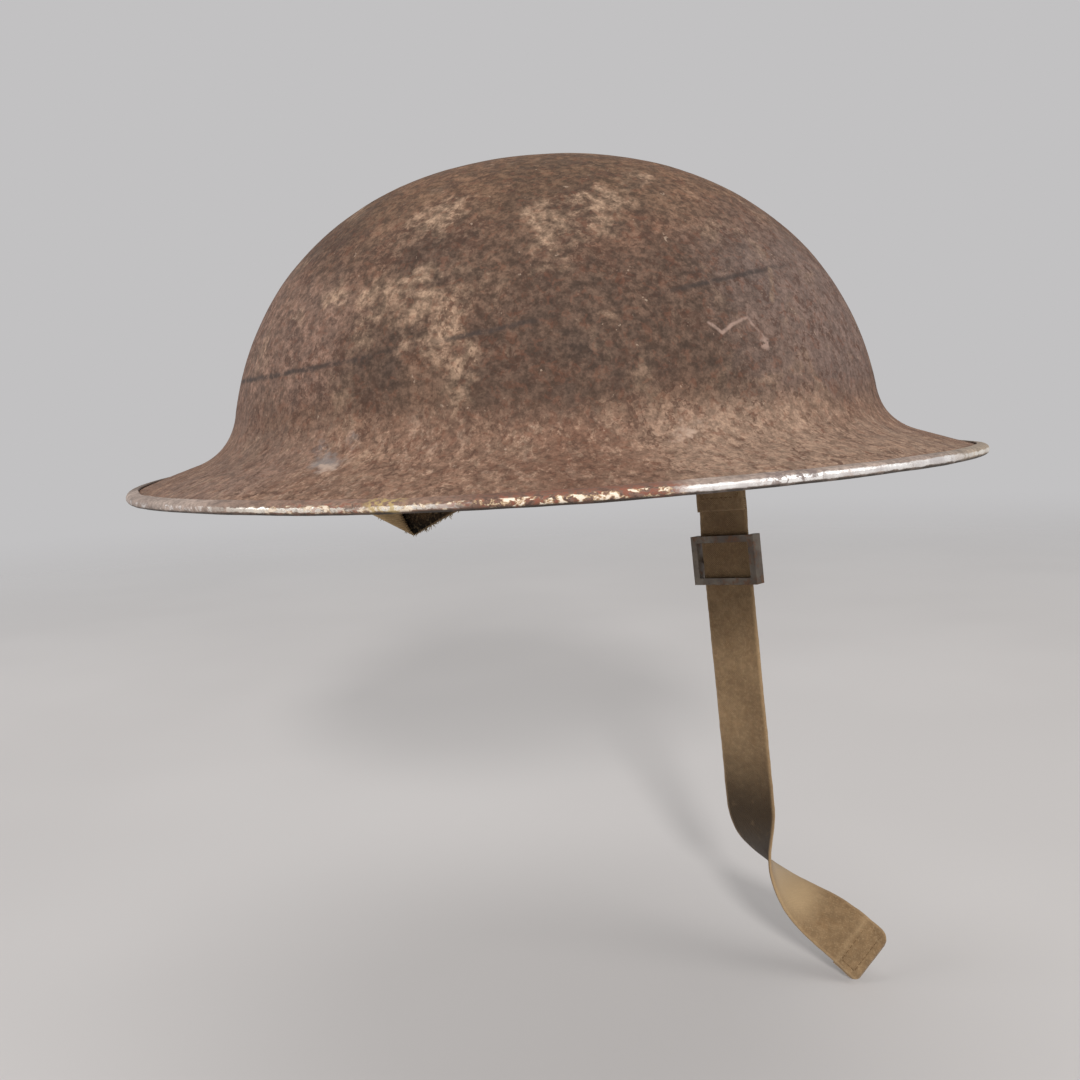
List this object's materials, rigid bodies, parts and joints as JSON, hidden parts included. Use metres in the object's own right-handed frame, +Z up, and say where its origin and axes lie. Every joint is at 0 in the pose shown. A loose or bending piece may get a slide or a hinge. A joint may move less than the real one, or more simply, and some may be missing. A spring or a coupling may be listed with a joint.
{
  "type": "brodie helmet",
  "caption": "Rusted steel helmet with a shallow dome and a wide brim, an adjustable crown-screwed liner and a webbing chin strap that hangs from wire bails.",
  "frame": {"origin": "on the upright axis of the crown, at the level of the rim's underside at the front; the wearer's head comes in there from below", "axes": "+X to the helmet's front, +Y to the wearer's left, +Z up through the crown"},
  "size_m": [0.3098, 0.288, 0.3421],
  "materials": {
    "rusted_shell": "rusted, with worn remains of paint",
    "worn_rim": "rusted, worn bright on its nose",
    "rusted_fittings": "rusted",
    "inner_steel": "dull",
    "felt": "matted felt",
    "fibre": "brown fibre",
    "leathercloth": "worn black leathercloth",
    "cotton": "twisted cotton",
    "rubber": "perished rubber",
    "webbing": "khaki cotton webbing",
    "buckle_steel": "rusted"
  },
  "bodies": {
    "helmet": {"shell": "rusted_shell", "rim_band": "worn_rim", "crown_screw": "rusted_fittings", "crown_washer": "inner_steel", "crown_pad": "felt", "crown_plate": "inner_steel", "crown_nut": "inner_steel", "fore_aft_strap": "fibre", "cross_strap": "fibre", "liner_hoop": "fibre", "sweatband": "leathercloth", "lining_tongues": "leathercloth", "lining_lace": "cotton", "front_buffer": "rubber", "rear_buffer": "rubber", "left_buffer": "rubber", "right_buffer": "rubber", "strap_rivets": "inner_steel", "buffer_rivets": "inner_steel", "left_lug": "inner_steel", "right_lug": "inner_steel", "left_lug_rivet": "rusted_fittings", "right_lug_rivet": "rusted_fittings"},
    "left_bail": {"left_bail": "inner_steel"},
    "right_bail": {"right_bail": "inner_steel"},
    "long_strap": {"long_strap": "webbing"},
    "short_strap": {"short_strap": "webbing"},
    "slide_buckle": {"slide_buckle": "buckle_steel"}
  },
  "joints": [
    {"name": "left_bail_swing", "type": "hinge", "parent": "helmet", "child": "left_bail", "pos_m": [0.02174, 0.10393, 0.01886], "axis": [0.9842, -0.1772, 0], "range_deg": [-25, 25]},
    {"name": "right_bail_swing", "type": "hinge", "parent": "helmet", "child": "right_bail", "pos_m": [0.02174, -0.10393, 0.01886], "axis": [0.9842, 0.1772, 0], "range_deg": [-25, 25]},
    {"name": "long_strap_swing", "type": "hinge", "parent": "left_bail", "child": "long_strap", "pos_m": [0.02174, 0.10393, 0.00686], "axis": [0.9842, -0.1772, 0], "range_deg": [-35, 35]},
    {"name": "short_strap_swing", "type": "hinge", "parent": "right_bail", "child": "short_strap", "pos_m": [0.02174, -0.10393, 0.00686], "axis": [0.9842, 0.1772, 0], "range_deg": [-35, 35]},
    {"name": "buckle_slide", "type": "slide", "parent": "long_strap", "child": "slide_buckle", "axis": [0.0841, -0.0151, -0.9963], "range_m": [-0.01, 0.08]}
  ]
}
